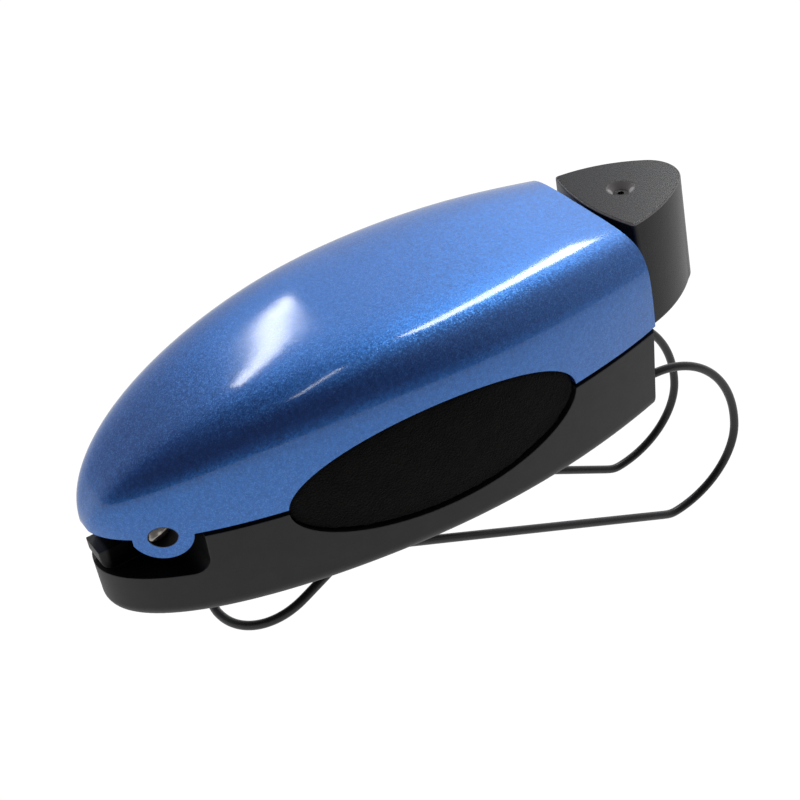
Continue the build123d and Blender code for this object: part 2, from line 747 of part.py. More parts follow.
# each side's fixed leg: a turned-in foot, a straight leg and the upper half of the rear loop
with BuildPart() as clip_wire_root:
    root_corner = Vector(WIRE_ROOT_X, WIRE_REAR_Y, 0)
    with BuildLine() as root_foot:
        Line(root_corner, root_corner - (0, WIRE_FOOT, 0))
    with BuildLine() as root_leg:
        Line(root_corner, (LOOP_START_X, WIRE_REAR_Y, 0))
    with BuildLine(side_plane(WIRE_REAR_Y)) as upper_bend:
        EllipticalCenterArc(
            (LOOP_START_X, -UPPER_BEND_Z),
            UPPER_BEND_X,
            UPPER_BEND_Z,
            start_angle=90,
            arc_size=SPLIT_ANGLE - 90,
        )
    for stretch in (root_foot, root_leg, upper_bend):
        add(wire_run(stretch.line))
    mirror(about=Plane.XZ)
save(clip_wire_root.part, "clip_wire_root")

# the sprung leg pair: lower half of the rear loop, long leg to the nip, and the lip's cross bend
with BuildPart() as clip_wire_arm:
    nip = Vector(NIP_X, WIRE_FRONT_Y, NIP_Z)
    lip_way = Vector(LIP_X - NIP_X, 0, LIP_Z - NIP_Z).normalized()
    lip_centre = Vector(LIP_X, 0, LIP_Z) - lip_way * LIP_BEND_DEPTH
    lip_plane = Plane(origin=lip_centre, x_dir=(0, 1, 0), z_dir=Vector(0, 1, 0).cross(lip_way))
    with BuildLine(side_plane(WIRE_REAR_Y)) as lower_bend:
        EllipticalCenterArc(
            (LOOP_START_X + UPPER_BEND_X - LOWER_BEND_X, -UPPER_BEND_Z),
            LOWER_BEND_X,
            LOWER_BEND_Z,
            start_angle=-90,
            arc_size=90 - SPLIT_ANGLE,
        )
    with BuildLine() as long_leg:
        Line(nip, lower_bend.line @ 0)
    with BuildLine(lip_plane) as lip_bend:
        EllipticalCenterArc((0, 0), WIRE_FRONT_Y, LIP_BEND_DEPTH, start_angle=0, arc_size=90)
    with BuildLine() as lip_leg:
        Line(nip, lip_bend.line @ 0)
    for stretch in (lower_bend, long_leg, lip_leg, lip_bend):
        add(wire_run(stretch.line))
    mirror(about=Plane.XZ)
save(clip_wire_arm.part, "clip_wire_arm")

# plate under the base that traps the wire's fixed legs
with BuildPart() as clip_retainer_plate:
    with BuildSketch(Plane.XY.offset(-PLATE_THICKNESS)):
        with Locations((PLATE_FRONT_X, 0)):
            Rectangle(
                PLATE_REAR_X - PLATE_FRONT_X,
                2 * PLATE_HALF_WIDTH,
                align=(Align.MIN, Align.CENTER),
            )
        fillet(vertices(), PLATE_CORNER)
    extrude(amount=PLATE_THICKNESS)
    fillet(clip_retainer_plate.faces().sort_by(Axis.Z)[0].edges(), PLATE_EDGE)
    plate_seats = [Location((x, y, -PLATE_THICKNESS), FACING_DOWN) for x, y in PLATE_SCREW_PLACES]
    with Locations(*plate_seats):
        CounterSinkHole(
            SHANK_RADIUS + SINK_CLEARANCE,
            HEAD_RADIUS + SINK_CLEARANCE,
            depth=2 * PLATE_THICKNESS,
            counter_sink_angle=SINK_ANGLE,
        )
    add(wire_grooves.part, mode=Mode.SUBTRACT)
save(clip_retainer_plate.part, "clip_retainer_plate")

save(
    countersunk_screws(PLATE_SCREW_PLACES, -PLATE_THICKNESS, PLATE_SCREW_LENGTH, FACING_DOWN),
    "clip_retainer_screws",
)
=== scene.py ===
import bpy, bmesh, json, math
from mathutils import Matrix, Vector, noise


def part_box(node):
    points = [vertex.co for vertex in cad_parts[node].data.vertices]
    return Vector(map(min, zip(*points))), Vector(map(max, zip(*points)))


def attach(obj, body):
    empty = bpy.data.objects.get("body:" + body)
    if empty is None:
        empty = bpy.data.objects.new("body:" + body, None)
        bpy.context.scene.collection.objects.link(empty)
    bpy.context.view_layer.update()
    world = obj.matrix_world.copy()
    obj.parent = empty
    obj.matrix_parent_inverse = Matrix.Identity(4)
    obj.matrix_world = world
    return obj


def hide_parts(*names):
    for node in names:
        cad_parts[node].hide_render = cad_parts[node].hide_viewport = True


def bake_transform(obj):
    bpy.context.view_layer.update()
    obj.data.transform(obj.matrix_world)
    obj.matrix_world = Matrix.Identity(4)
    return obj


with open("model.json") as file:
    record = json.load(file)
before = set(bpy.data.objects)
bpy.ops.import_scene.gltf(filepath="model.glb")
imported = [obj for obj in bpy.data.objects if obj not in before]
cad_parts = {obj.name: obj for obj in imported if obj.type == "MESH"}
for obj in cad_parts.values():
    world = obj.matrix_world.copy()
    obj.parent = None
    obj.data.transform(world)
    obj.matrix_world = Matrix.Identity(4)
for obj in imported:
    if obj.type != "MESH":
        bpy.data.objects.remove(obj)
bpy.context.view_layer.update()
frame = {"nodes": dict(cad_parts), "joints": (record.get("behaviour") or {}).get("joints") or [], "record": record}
nodes = frame["nodes"]
joints = {j["name"]: j for j in frame["joints"]}
MM = 0.001
scene = bpy.context.scene

# hinge axis and bore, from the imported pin
pin_low, pin_high = (Vector(corner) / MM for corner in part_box("hinge_pin"))
PIN_X = (pin_low.x + pin_high.x) / 2
PIN_Z = (pin_low.z + pin_high.z) / 2
PIN_RADIUS = (pin_high.x - pin_low.x) / 2
BORE_CLEARANCE = 0.12
BORE_RADIUS = PIN_RADIUS + BORE_CLEARANCE
BORE_FADE = 0.08
# the button's dimple: its screw's axis, and the way its two painted glints lie
screw_low, screw_high = (Vector(corner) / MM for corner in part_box("button_screw"))
DIMPLE_RISE = 0.45
DIMPLE_AT = (screw_low + screw_high) / 2
DIMPLE_AT.z = screw_high.z + DIMPLE_RISE
DIMPLE_GLINT_ACROSS = Vector((0.84, -0.53, 0.0)) * 1.62
GLINT_EDGE, GLINT_CORE = 0.62, 0.40
# the hinge recess in the base's nose, where the base's material lays painted shade
NOSE_FRONT_X = -44.0
RECESS_FLOOR_Z = 8.2
RECESS_END_X = NOSE_FRONT_X + 12.7
RECESS_CORNER = 2.5
RECESS_FRONT_FADE = (NOSE_FRONT_X + 1.4, NOSE_FRONT_X + 2.0)


# ---- the lid's dome, as a superellipse per station ---------------------------------------
LID_LENGTH = 88.0
WIDE, REAR_WIDE, WIDEST, NOSE_ROUND = 20.1, 15.55, 55.0, 1.78
TALL, REAR_TALL, TALLEST, CROWN_ROUND = 17.9, 14.75, 46.0, 1.9
SQUARE_NOSE, SQUARE_GAIN = 3.8, 1.76
PARTING_Z = 15.2
PARTING_MARGIN = 0.2
DOME_TOLERANCE = 0.02
SLOPE_STEP = 0.02
SAME_FACING = 0.9


def arch(run, full, rear, peak, roundness):
    """Half width or height at a distance back from the nose."""
    if run < peak:
        return full * math.sqrt(max(1e-6, 1 - (1 - run / peak) ** roundness))
    return full - (full - rear) * ((run - peak) / (LID_LENGTH - peak)) ** 2


def dome_level(at):
    """Below 1 inside the dome, above 1 outside it, for a point in mm."""
    run = min(max(at.x + LID_LENGTH / 2, 1e-3), LID_LENGTH + 2)
    power = SQUARE_NOSE + SQUARE_GAIN * run / LID_LENGTH
    wide = arch(run, WIDE, REAR_WIDE, WIDEST, NOSE_ROUND)
    tall = arch(run, TALL, REAR_TALL, TALLEST, CROWN_ROUND)
    total = (abs(at.y) / wide) ** power + (abs(at.z - PARTING_Z) / tall) ** power
    return total ** (1 / power)


def store_dome_normals(piece):
    """Keeps the dome's true normals on the shell's points, for its lacquer's reflections."""
    mesh = piece.data
    count = len(mesh.vertices)
    directions = [0.0] * (3 * count)
    shares = [0.0] * count
    for i, v in enumerate(mesh.vertices):
        at = v.co / MM
        if at.z < PARTING_Z + PARTING_MARGIN or abs(dome_level(at) - 1) > DOME_TOLERANCE:
            continue
        slope = Vector()
        for axis in range(3):
            offset = Vector()
            offset[axis] = SLOPE_STEP
            slope[axis] = dome_level(at + offset) - dome_level(at - offset)
        slope.normalize()
        if slope.dot(v.normal) > SAME_FACING:
            directions[3 * i : 3 * i + 3] = slope
            shares[i] = 1.0
    mesh.attributes.new("dome_normal", "FLOAT_VECTOR", "POINT")
    mesh.attributes["dome_normal"].data.foreach_set("vector", directions)
    mesh.attributes.new("dome_share", "FLOAT", "POINT")
    mesh.attributes["dome_share"].data.foreach_set("value", shares)


# ---- node-material helpers ----------------------------------------------------------------
class Nodes:
    """Short names for building one material's node tree in millimetres of the row frame."""

    def __init__(self, name):
        self.material = bpy.data.materials.new(name)
        self.material.use_nodes = True
        self.tree = self.material.node_tree
        self.tree.nodes.clear()
        self.out = self.add("ShaderNodeOutputMaterial")
        self.surface = self.add("ShaderNodeBsdfPrincipled")
        self.link(self.surface, "BSDF", self.out, "Surface")
        place = self.add("ShaderNodeTexCoord")
        self.mm = self.add("ShaderNodeVectorMath", operation="SCALE")
        self.mm.inputs["Scale"].default_value = 1000.0
        self.link(place, "Object", self.mm, 0)

    def add(self, kind, **settings):
        node = self.tree.nodes.new(kind)
        for key, value in settings.items():
            setattr(node, key, value)
        return node

    def link(self, a, out, b, into):
        self.tree.links.new(a.outputs[out], b.inputs[into])

    def set(self, **values):
        for key, value in values.items():
            self.surface.inputs[key.replace("_", " ")].default_value = value

    def noise(self, scale, detail=3.0, rough=0.55, stretch=None):
        node = self.add("ShaderNodeTexNoise")
        node.inputs["Scale"].default_value = scale
        node.inputs["Detail"].default_value = detail
        node.inputs["Roughness"].default_value = rough
        if stretch:
            by = self.add("ShaderNodeVectorMath", operation="MULTIPLY")
            by.inputs[1].default_value = stretch
            self.link(self.mm, 0, by, 0)
            self.link(by, 0, node, "Vector")
        else:
            self.link(self.mm, 0, node, "Vector")
        return node

    def cells(self, scale):
        node = self.add("ShaderNodeTexVoronoi", feature="F1")
        node.inputs["Scale"].default_value = scale
        self.link(self.mm, 0, node, "Vector")
        return node

    def ramp(self, source, out, low, high, a, b):
        """Colour ramp from a at low to b at high."""
        node = self.add("ShaderNodeValToRGB")
        node.color_ramp.elements[0].position = low
        node.color_ramp.elements[1].position = high
        node.color_ramp.elements[0].color = (*a, 1)
        node.color_ramp.elements[1].color = (*b, 1)
        self.link(source, out, node, 0)
        return node

    def span(self, source, out, low, high):
        """The source's 0..1 mapped to low..high."""
        node = self.add("ShaderNodeMapRange")
        node.inputs["To Min"].default_value = low
        node.inputs["To Max"].default_value = high
        self.link(source, out, node, 0)
        return node

    def mix(self, a, a_out, b, b_out, factor, factor_out=None, blend="MIX"):
        node = self.add("ShaderNodeMix", data_type="RGBA", blend_type=blend)
        if factor_out is None:
            node.inputs[0].default_value = factor
        else:
            self.link(factor, factor_out, node, 0)
        for socket, source, out in ((6, a, a_out), (7, b, b_out)):
            if isinstance(source, tuple):
                node.inputs[socket].default_value = (*source, 1)
            else:
                self.link(source, out, node, socket)
        return node

    def bump(self, source, out, strength, distance, chain=None):
        node = self.add("ShaderNodeBump")
        node.inputs["Strength"].default_value = strength
        node.inputs["Distance"].default_value = distance * MM
        self.link(source, out, node, "Height")
        if chain:
            self.link(chain, 0, node, "Normal")
        return node

    def edges(self, radius, low, high):
        """0 on flats, 1 on edges, where wear and painted highlight are laid: how far a rounded normal leans from
        the true one.
        """
        bevel = self.add("ShaderNodeBevel", samples=4)
        bevel.inputs["Radius"].default_value = radius * MM
        geometry = self.add("ShaderNodeNewGeometry")
        dot = self.add("ShaderNodeVectorMath", operation="DOT_PRODUCT")
        self.link(bevel, 0, dot, 0)
        self.link(geometry, "Normal", dot, 1)
        node = self.add("ShaderNodeMapRange")
        node.inputs["From Min"].default_value = 1.0 - low
        node.inputs["From Max"].default_value = 1.0 - high
        self.link(dot, "Value", node, 0)
        return node, bevel


def axis_mask(m, near, far):
    """1 within near mm of the hinge axis, 0 beyond far."""
    split = m.add("ShaderNodeSeparateXYZ")
    m.link(m.mm, 0, split, 0)
    squares = []
    for out, centre in (("X", PIN_X), ("Z", PIN_Z)):
        off = m.add("ShaderNodeMath", operation="SUBTRACT")
        off.inputs[1].default_value = centre
        m.link(split, out, off, 0)
        square = m.add("ShaderNodeMath", operation="POWER")
        square.inputs[1].default_value = 2.0
        m.link(off, 0, square, 0)
        squares.append(square)
    total = m.add("ShaderNodeMath", operation="ADD")
    m.link(squares[0], 0, total, 0)
    m.link(squares[1], 0, total, 1)
    mask = m.add("ShaderNodeMapRange")
    mask.inputs["From Min"].default_value = near * near
    mask.inputs["From Max"].default_value = far * far
    mask.inputs["To Min"].default_value = 1.0
    mask.inputs["To Max"].default_value = 0.0
    m.link(total, 0, mask, 0)
    return mask


FLAKE_CELLS = 7.0
FLAKE_LEAN = 0.18
DRIFT_SHARE = 0.35
GROUND_SHARE = 0.30
COAT_ROUGHNESS = 0.10


def lid_paint():
    """Blue metallic lacquer: leaning azure flakes over a violet-navy ground, under a clear coat."""
    m = Nodes("lid_blue_flake")
    flakes = m.cells(FLAKE_CELLS)
    clumps = m.noise(1.6, 2.0)
    drift = m.noise(0.12, 2.0)
    deep = m.ramp(clumps, "Fac", 0.35, 0.65, (0.022, 0.185, 0.60), (0.034, 0.245, 0.76))
    sparkle = m.ramp(flakes, "Color", 0.55, 0.98, (0, 0, 0), (0.08, 0.16, 0.24))
    colour = m.mix(deep, 0, sparkle, 0, 1.0, blend="ADD")
    shade = m.mix(colour, 2, (0.016, 0.16, 0.56), None, drift, "Fac")
    m.link(m.mix(colour, 2, shade, 2, DRIFT_SHARE), 2, m.surface, "Base Color")
    # each flake leans its own way under the smooth clear coat
    centred = m.add("ShaderNodeVectorMath", operation="SUBTRACT")
    centred.inputs[1].default_value = (0.5, 0.5, 0.5)
    m.link(flakes, "Color", centred, 0)
    tilt = m.add("ShaderNodeVectorMath", operation="SCALE")
    tilt.inputs["Scale"].default_value = FLAKE_LEAN
    m.link(centred, 0, tilt, 0)
    # on the dome its stored normal stands in for the mesh's own
    geometry = m.add("ShaderNodeNewGeometry")
    stored = m.add("ShaderNodeAttribute", attribute_name="dome_normal")
    share = m.add("ShaderNodeAttribute", attribute_name="dome_share")
    turned = m.add("ShaderNodeVectorTransform", vector_type="NORMAL")
    m.link(stored, "Vector", turned, 0)
    facing = m.add("ShaderNodeMix", data_type="VECTOR")
    m.link(share, "Fac", facing, 0)
    m.link(geometry, "Normal", facing, 4)
    m.link(turned, 0, facing, 5)
    lean = m.add("ShaderNodeVectorMath", operation="ADD")
    m.link(facing, 1, lean, 0)
    m.link(tilt, 0, lean, 1)
    unit = m.add("ShaderNodeVectorMath", operation="NORMALIZE")
    m.link(lean, 0, unit, 0)
    m.link(unit, 0, m.surface, "Normal")
    peel = m.noise(1.2, 2.0)
    coat = m.bump(peel, "Fac", 0.15, 0.01)
    m.link(facing, 1, coat, "Normal")
    m.link(coat, 0, m.surface, "Coat Normal")
    m.link(m.span(clumps, "Fac", 0.35, 0.45), 0, m.surface, "Roughness")
    m.set(Metallic=1.0, Coat_Weight=1.0, Coat_Roughness=COAT_ROUGHNESS, Coat_IOR=1.5)
    # the violet ground that shows between the flakes
    ground = m.add("ShaderNodeBsdfPrincipled")
    violet = m.ramp(clumps, "Fac", 0.3, 0.7, (0.030, 0.042, 0.22), (0.042, 0.060, 0.28))
    m.link(violet, 0, ground, "Base Color")
    m.link(coat, 0, ground, "Coat Normal")
    ground.inputs["Roughness"].default_value = 0.6
    ground.inputs["Coat Weight"].default_value = 1.0
    ground.inputs["Coat Roughness"].default_value = COAT_ROUGHNESS
    layers = m.add("ShaderNodeMixShader")
    layers.inputs[0].default_value = GROUND_SHARE
    m.link(m.surface, 0, layers, 1)
    m.link(ground, 0, layers, 2)
    # painted shade: the hinge bore's wall is painted near-black, standing in for the shade inside the bore
    bore_painted_shade = m.add("ShaderNodeBsdfPrincipled")
    bore_painted_shade.inputs["Base Color"].default_value = (0.008, 0.008, 0.009, 1)
    bore_painted_shade.inputs["Roughness"].default_value = 0.5
    bore_shade_mix = m.add("ShaderNodeMixShader")
    m.link(axis_mask(m, BORE_RADIUS, BORE_RADIUS + BORE_FADE), 0, bore_shade_mix, 0)
    m.link(layers, 0, bore_shade_mix, 1)
    m.link(bore_painted_shade, 0, bore_shade_mix, 2)
    m.link(bore_shade_mix, 0, m.out, "Surface")
    return m.material


MOULD_GRAIN = 3.0


def moulded(
    name, dark, light, rough, edge=0.25, shine=0.5, relief=0.22, lift=(0.09, 0.09, 0.095)
):
    """Black moulded plastic: fine spark-eroded grain, faint flow mottling, edges lighter, partly as rubbed wear
    and partly as painted highlight.
    """
    m = Nodes(name)
    mottle = m.noise(0.35, 4.0)
    fine = m.noise(MOULD_GRAIN, 5.0, 0.65)
    base = m.ramp(mottle, "Fac", 0.3, 0.7, dark, light)
    edge_wear_and_highlight, soft = m.edges(edge, 0.02, 0.22)
    # the lift colour on the edges is partly rubbed wear, partly painted highlight
    m.colour = m.mix(base, 0, lift, None, edge_wear_and_highlight, 0)
    m.link(m.colour, 2, m.surface, "Base Color")
    m.link(m.span(fine, "Fac", rough - 0.07, rough + 0.09), 0, m.surface, "Roughness")
    m.link(m.bump(fine, "Fac", relief, 0.03, soft), 0, m.surface, "Normal")
    m.set(Specular_IOR_Level=shine)
    return m


def base_plastic():
    """The base's satin plastic, its hinge recess painted near-black with its shine turned down, as painted shade.
    """
    m = moulded("base_satin_black", (0.008, 0.008, 0.0083), (0.013, 0.013, 0.0133), 0.42)
    split = m.add("ShaderNodeSeparateXYZ")
    m.link(m.mm, 0, split, 0)
    # how far a point lies past the centre of the recess's rounded rear corner, back and down
    square = []
    for out, centre, sign in (
        ("X", RECESS_END_X - RECESS_CORNER, 1.0),
        ("Z", RECESS_FLOOR_Z + RECESS_CORNER, -1.0),
    ):
        past = m.add("ShaderNodeMath", operation="MULTIPLY_ADD")
        past.inputs[1].default_value = sign
        past.inputs[2].default_value = -sign * centre
        m.link(split, out, past, 0)
        kept = m.add("ShaderNodeMath", operation="MAXIMUM")
        kept.inputs[1].default_value = 0.0
        m.link(past, 0, kept, 0)
        power = m.add("ShaderNodeMath", operation="POWER")
        power.inputs[1].default_value = 2.0
        m.link(kept, 0, power, 0)
        square.append(power)
    reach = m.add("ShaderNodeMath", operation="ADD")
    m.link(square[0], 0, reach, 0)
    m.link(square[1], 0, reach, 1)
    near = m.add("ShaderNodeMapRange")
    near.inputs["From Min"].default_value = (RECESS_CORNER + 0.02) ** 2
    near.inputs["From Max"].default_value = (RECESS_CORNER - 0.05) ** 2
    m.link(reach, 0, near, 0)
    behind_front = m.add("ShaderNodeMapRange")
    behind_front.inputs["From Min"].default_value = RECESS_FRONT_FADE[0]
    behind_front.inputs["From Max"].default_value = RECESS_FRONT_FADE[1]
    m.link(split, "X", behind_front, 0)
    recess_shade_mask = m.add("ShaderNodeMath", operation="MULTIPLY")
    m.link(near, 0, recess_shade_mask, 0)
    m.link(behind_front, 0, recess_shade_mask, 1)
    # painted shade: near-black colour and little shine inside the hinge recess
    deep = m.mix(m.colour, 2, (0.0015, 0.0015, 0.0015), None, recess_shade_mask, 0)
    m.link(deep, 2, m.surface, "Base Color")
    m.link(m.span(recess_shade_mask, 0, 0.42, 0.05), 0, m.surface, "Specular IOR Level")
    return m


def button_plastic():
    """The button's glossier plastic: rim and edges painted pale as a highlight, two painted glints inside its
    dimple.
    """
    # the pale edge lift (0.30, 0.295, 0.285) here is a painted highlight on the rounded edges
    m = moulded(
        "button_satin_black",
        (0.014, 0.014, 0.0145),
        (0.020, 0.020, 0.0205),
        0.26,
        edge=0.32,
        shine=0.30,
        relief=0.05,
        lift=(0.30, 0.295, 0.285),
    )
    # painted glints: two small pale spots on the dimple's walls, either side of the screw
    painted_glints = None
    for along in (-1.0, 1.0):
        centre = m.add("ShaderNodeVectorMath", operation="DISTANCE")
        centre.inputs[1].default_value = DIMPLE_AT + DIMPLE_GLINT_ACROSS * along
        m.link(m.mm, 0, centre, 0)
        painted_glint = m.add("ShaderNodeMapRange")
        painted_glint.inputs["From Min"].default_value = GLINT_EDGE
        painted_glint.inputs["From Max"].default_value = GLINT_CORE
        m.link(centre, "Value", painted_glint, 0)
        if painted_glints:
            both = m.add("ShaderNodeMath", operation="MAXIMUM")
            m.link(painted_glints, 0, both, 0)
            m.link(painted_glint, 0, both, 1)
            painted_glints = both
        else:
            painted_glints = painted_glint
    # painted highlight: surfaces that face the room aslant, which at rest are the rounded rim under the thumb, are
    # painted pale
    geometry = m.add("ShaderNodeNewGeometry")
    parts = m.add("ShaderNodeSeparateXYZ")
    m.link(geometry, "Normal", parts, 0)
    rim = m.add("ShaderNodeValToRGB")
    rim.color_ramp.elements[0].position = 0.12
    rim.color_ramp.elements[0].color = (0, 0, 0, 1)
    rim.color_ramp.elements[1].position = 0.97
    rim.color_ramp.elements[1].color = (0, 0, 0, 1)
    for position in (0.35, 0.88):
        rim.color_ramp.elements.new(position).color = (1, 1, 1, 1)
    m.link(parts, "Z", rim, 0)
    painted_rim_highlight = m.mix(m.colour, 2, (0.36, 0.35, 0.33), None, rim, 0)
    # (0.85, 0.84, 0.82) is the painted glints' colour
    glinted_colour = m.mix(painted_rim_highlight, 2, (0.85, 0.84, 0.82), None, painted_glints, 0)
    m.link(glinted_colour, 2, m.surface, "Base Color")
    return m


def foam_material():
    """Open-cell black foam: pores and specks over faint brown patches, almost no shine."""
    m = Nodes("black_open_foam")
    pores = m.cells(3.4)
    fine = m.noise(5.5, 5.0, 0.7)
    patch = m.noise(0.35, 4.0, 0.6)
    base = m.ramp(patch, "Fac", 0.35, 0.7, (0.0015, 0.0013, 0.0011), (0.005, 0.0042, 0.0034))
    speck = m.ramp(fine, "Fac", 0.55, 0.8, (0, 0, 0), (0.009, 0.0075, 0.006))
    colour = m.mix(base, 0, speck, 0, 1.0, blend="ADD")
    m.link(colour, 2, m.surface, "Base Color")
    first = m.bump(pores, "Distance", 0.7, 0.16)
    m.link(m.bump(fine, "Fac", 0.6, 0.08, first), 0, m.surface, "Normal")
    m.set(Roughness=0.95, Specular_IOR_Level=0.08, Sheen_Weight=0.05, Sheen_Roughness=0.6)
    return m.material


def wire_material():
    """Black-coated spring wire, nicked paler here and there."""
    m = Nodes("black_coated_wire")
    drawn = m.noise(2.2, 4.0, 0.6)
    nicks = m.noise(0.9, 6.0, 0.7)
    base = m.ramp(nicks, "Fac", 0.62, 0.74, (0.014, 0.0138, 0.0135), (0.06, 0.058, 0.055))
    m.link(base, 0, m.surface, "Base Color")
    m.link(m.span(drawn, "Fac", 0.3, 0.46), 0, m.surface, "Roughness")
    m.link(m.bump(drawn, "Fac", 0.25, 0.02), 0, m.surface, "Normal")
    m.set(Metallic=0.35, Coat_Weight=0.35, Coat_Roughness=0.3)
    return m.material


# turning marks run round the Y axis, so the noise is drawn out along Y
TURNING_STRETCH = (6.0, 0.6, 6.0)


def steel(name, colour, rough):
    """Turned metal: fine marks in its roughness and relief, faint staining in its colour."""
    m = Nodes(name)
    lines = m.noise(2.4, 3.0, 0.6, stretch=TURNING_STRETCH)
    stain = m.noise(0.8, 4.0)
    shade = tuple(0.62 * c for c in colour)
    base = m.ramp(stain, "Fac", 0.35, 0.7, shade, colour)
    m.link(base, 0, m.surface, "Base Color")
    m.link(m.span(lines, "Fac", rough - 0.08, rough + 0.12), 0, m.surface, "Roughness")
    m.link(m.bump(lines, "Fac", 0.35, 0.02), 0, m.surface, "Normal")
    m.set(Metallic=1.0)
    return m.material


MATERIALS = {
    "lid_blue": lid_paint(),
    "base_plastic": base_plastic().material,
    "button_plastic": button_plastic().material,
    "liner_plastic": moulded(
        "liner_black", (0.012, 0.012, 0.012), (0.018, 0.018, 0.018), 0.55
    ).material,
    "foam": foam_material(),
    "black_wire": wire_material(),
    "pin_steel": steel("pin_turned_steel", (0.56, 0.53, 0.47), 0.30),
    "screw_steel": steel("screw_zinc", (0.34, 0.34, 0.35), 0.35),
}
slots = {s["node"]: s["material_slot"] for s in frame["record"]["subparts"]}
for name, piece in nodes.items():
    piece.data.materials.clear()
    piece.data.materials.append(MATERIALS[slots[name]])
black_oxide = steel("screw_black_oxide", (0.035, 0.035, 0.036), 0.35)
nodes["button_screw"].data.materials[0] = black_oxide


def mesh_object(name, mesh, material):
    """New object in the scene around a mesh that has no material yet."""
    thing = bpy.data.objects.new(name, mesh)
    scene.collection.objects.link(thing)
    mesh.materials.append(material)
    return thing


def finished_mesh(name, bm):
    """Smooth-shaded mesh from a closed bmesh, its faces turned outwards; the bmesh is freed."""
    bmesh.ops.recalc_face_normals(bm, faces=bm.faces)
    mesh = bpy.data.meshes.new(name)
    bm.to_mesh(mesh)
    bm.free()
    for polygon in mesh.polygons:
        polygon.use_smooth = True
    return mesh


# ---- lacquered lid: a copy of the CAD shell that carries the dome's exact normals -----------
lid_mesh = nodes["lid_shell"].data.copy()
lid_mesh.materials.clear()
lid_skin = mesh_object("lid_lacquered_shell", lid_mesh, MATERIALS["lid_blue"])
store_dome_normals(lid_skin)
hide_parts("lid_shell")
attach(lid_skin, "lid")


# ---- foam pads ----------------------------------------------------------------------------
FOAM_VOXEL = 0.45
FOAM_ROUNDS = 5
FOAM_PORE = 0.11
FOAM_SWELL = 0.35
FOAM_SPARE = 3.0
FOAM_SEAT_BAND = 0.02


def foam_pad(name, node, body):
    """Foam block in its CAD solid's space: edges softened, ends crowned, skin pitted inwards."""
    low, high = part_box(node)
    lid_side = body == "lid"
    seat_z = low[2] if lid_side else high[2]
    outward = Vector((0, 0, -1 if lid_side else 1))
    rough = mesh_object(name + "_blank", nodes[node].data.copy(), MATERIALS["foam"])
    # a spare layer past the parting plane keeps the softening away from that cut face
    for v in rough.data.vertices:
        if abs(v.co.z - seat_z) < FOAM_SEAT_BAND * MM:
            v.co += outward * FOAM_SPARE * MM
    remesh = rough.modifiers.new("voxels", "REMESH")
    remesh.mode = "VOXEL"
    remesh.voxel_size = FOAM_VOXEL * MM
    shown = rough.evaluated_get(bpy.context.evaluated_depsgraph_get())
    mesh = bpy.data.meshes.new_from_object(shown)
    bpy.data.objects.remove(rough)
    bm = bmesh.new()
    bm.from_mesh(mesh)
    for _ in range(FOAM_ROUNDS):
        bmesh.ops.smooth_vert(
            bm, verts=bm.verts, factor=0.5, use_axis_x=True, use_axis_y=True, use_axis_z=True
        )
    bm.normal_update()
    half = (high[0] - low[0]) / 2
    middle_x = (high[0] + low[0]) / 2
    tall = high[2] - low[2]
    for v in bm.verts:
        at = v.co / MM
        pits = noise.noise(at * 2.3) + 0.6 * noise.noise(at * 4.7)
        depth = FOAM_PORE * max(0.0, 0.35 + 0.5 * pits)
        # the end faces swell in the middle, inside the recess the case leaves
        along = (v.co.x - middle_x) / half
        upward = (v.co.z - seat_z) / tall
        swell = max(0.0, 1.0 - along * along - upward * upward)
        ends = max(0.0, abs(v.normal.y) - 0.6) / 0.4
        v.co += v.normal * MM * (FOAM_SWELL * swell * ends - depth)
    cut = bmesh.ops.bisect_plane(
        bm,
        geom=bm.verts[:] + bm.edges[:] + bm.faces[:],
        plane_co=Vector((0, 0, seat_z)),
        plane_no=outward,
        clear_outer=True,
    )
    rim = [e for e in cut["geom_cut"] if isinstance(e, bmesh.types.BMEdge)]
    bmesh.ops.contextual_create(bm, geom=rim)
    for edge in rim:
        edge.smooth = False
    bm.to_mesh(mesh)
    bm.free()
    for polygon in mesh.polygons:
        polygon.use_smooth = True
    mesh.materials.clear()
    pad = mesh_object(name, mesh, MATERIALS["foam"])
    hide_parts(node)
    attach(pad, body)


foam_pad("foam_pad_upper", "lid_foam_pad", "lid")
foam_pad("foam_pad_lower", "base_foam_pad", "base")


# ---- spring-wire clip as one bent rod -----------------------------------------------------
WIRE_RADIUS = 0.72
FOOT_LENGTH = 3.0
FOOT_STEP = 0.25
FOOT_POINTS = 12
LEG_STEPS = 70
LOOP_STEPS, LOWER_LOOP_STEPS = 60, 50
ARM_STEPS = 130
LIP_LEG_STEPS, LIP_STEPS = 22, 36
LOOP_RADIUS = 17.05
LOWER_LOOP_RADIUS = 14.2
SPLIT_Z = -18.65
NIP_X, NIP_Z = -9.75, -0.9
LIP_X, LIP_Z = -28.4, -10.55
LIP_ROUND = 10.9
RELAX_ROUNDS = 6
PLATE_END_X = 42.0
PLATE_FLOOR_Z = -0.5


